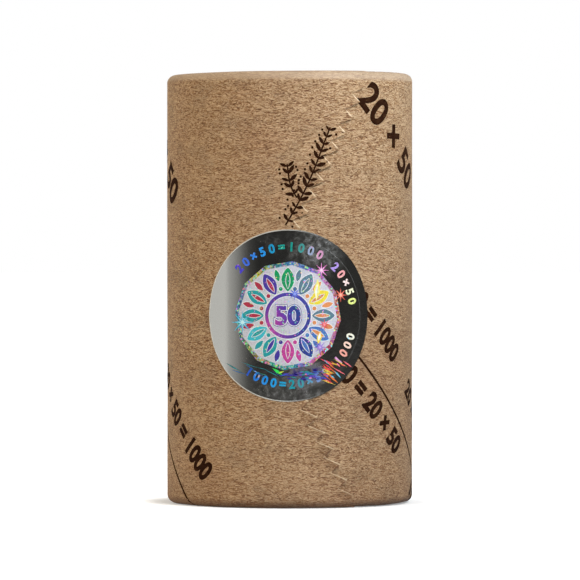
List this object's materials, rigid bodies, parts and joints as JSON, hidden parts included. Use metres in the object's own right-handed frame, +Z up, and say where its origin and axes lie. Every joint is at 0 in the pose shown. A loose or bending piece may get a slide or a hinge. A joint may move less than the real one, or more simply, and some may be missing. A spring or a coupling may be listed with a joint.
{
  "type": "coin roll",
  "caption": "Upright paper-wrapped roll of twelve-sided coins with rolled ends, a saw-toothed torn edge and a round foil tamper seal.",
  "frame": {"origin": "centre of the lower rolled end, on the plane the roll stands on", "axes": "+Z up the axis of the roll, -Y towards the middle of the foil seal, +X to the right of the seal"},
  "size_m": [0.0331, 0.0333, 0.058],
  "materials": {
    "kraft_paper": "matt, fibrous",
    "coin_metal": "struck cupronickel, bright",
    "seal_foil": "metallised holographic film"
  },
  "bodies": {
    "wrapper": {"wrapper": "kraft_paper", "seal": "seal_foil"},
    "coin_01": {"coin_01": "coin_metal"},
    "coin_02": {"coin_02": "coin_metal"},
    "coin_03": {"coin_03": "coin_metal"},
    "coin_04": {"coin_04": "coin_metal"},
    "coin_05": {"coin_05": "coin_metal"},
    "coin_06": {"coin_06": "coin_metal"},
    "coin_07": {"coin_07": "coin_metal"},
    "coin_08": {"coin_08": "coin_metal"},
    "coin_09": {"coin_09": "coin_metal"},
    "coin_10": {"coin_10": "coin_metal"},
    "coin_11": {"coin_11": "coin_metal"},
    "coin_12": {"coin_12": "coin_metal"},
    "coin_13": {"coin_13": "coin_metal"},
    "coin_14": {"coin_14": "coin_metal"},
    "coin_15": {"coin_15": "coin_metal"},
    "coin_16": {"coin_16": "coin_metal"},
    "coin_17": {"coin_17": "coin_metal"},
    "coin_18": {"coin_18": "coin_metal"},
    "coin_19": {"coin_19": "coin_metal"},
    "coin_20": {"coin_20": "coin_metal"}
  },
  "joints": [
    {"name": "coin_01_turn", "type": "hinge", "parent": "wrapper", "child": "coin_01", "pos_m": [0, 0, 0], "axis": [0, 0, 1], "continuous": true},
    {"name": "coin_02_turn", "type": "hinge", "parent": "wrapper", "child": "coin_02", "pos_m": [0, 0, 0], "axis": [0, 0, 1], "continuous": true},
    {"name": "coin_03_turn", "type": "hinge", "parent": "wrapper", "child": "coin_03", "pos_m": [0, 0, 0], "axis": [0, 0, 1], "continuous": true},
    {"name": "coin_04_turn", "type": "hinge", "parent": "wrapper", "child": "coin_04", "pos_m": [0, 0, 0], "axis": [0, 0, 1], "continuous": true},
    {"name": "coin_05_turn", "type": "hinge", "parent": "wrapper", "child": "coin_05", "pos_m": [0, 0, 0], "axis": [0, 0, 1], "continuous": true},
    {"name": "coin_06_turn", "type": "hinge", "parent": "wrapper", "child": "coin_06", "pos_m": [0, 0, 0], "axis": [0, 0, 1], "continuous": true},
    {"name": "coin_07_turn", "type": "hinge", "parent": "wrapper", "child": "coin_07", "pos_m": [0, 0, 0], "axis": [0, 0, 1], "continuous": true},
    {"name": "coin_08_turn", "type": "hinge", "parent": "wrapper", "child": "coin_08", "pos_m": [0, 0, 0], "axis": [0, 0, 1], "continuous": true},
    {"name": "coin_09_turn", "type": "hinge", "parent": "wrapper", "child": "coin_09", "pos_m": [0, 0, 0], "axis": [0, 0, 1], "continuous": true},
    {"name": "coin_10_turn", "type": "hinge", "parent": "wrapper", "child": "coin_10", "pos_m": [0, 0, 0], "axis": [0, 0, 1], "continuous": true},
    {"name": "coin_11_turn", "type": "hinge", "parent": "wrapper", "child": "coin_11", "pos_m": [0, 0, 0], "axis": [0, 0, 1], "continuous": true},
    {"name": "coin_12_turn", "type": "hinge", "parent": "wrapper", "child": "coin_12", "pos_m": [0, 0, 0], "axis": [0, 0, 1], "continuous": true},
    {"name": "coin_13_turn", "type": "hinge", "parent": "wrapper", "child": "coin_13", "pos_m": [0, 0, 0], "axis": [0, 0, 1], "continuous": true},
    {"name": "coin_14_turn", "type": "hinge", "parent": "wrapper", "child": "coin_14", "pos_m": [0, 0, 0], "axis": [0, 0, 1], "continuous": true},
    {"name": "coin_15_turn", "type": "hinge", "parent": "wrapper", "child": "coin_15", "pos_m": [0, 0, 0], "axis": [0, 0, 1], "continuous": true},
    {"name": "coin_16_turn", "type": "hinge", "parent": "wrapper", "child": "coin_16", "pos_m": [0, 0, 0], "axis": [0, 0, 1], "continuous": true},
    {"name": "coin_17_turn", "type": "hinge", "parent": "wrapper", "child": "coin_17", "pos_m": [0, 0, 0], "axis": [0, 0, 1], "continuous": true},
    {"name": "coin_18_turn", "type": "hinge", "parent": "wrapper", "child": "coin_18", "pos_m": [0, 0, 0], "axis": [0, 0, 1], "continuous": true},
    {"name": "coin_19_turn", "type": "hinge", "parent": "wrapper", "child": "coin_19", "pos_m": [0, 0, 0], "axis": [0, 0, 1], "continuous": true},
    {"name": "coin_20_turn", "type": "hinge", "parent": "wrapper", "child": "coin_20", "pos_m": [0, 0, 0], "axis": [0, 0, 1], "continuous": true}
  ]
}
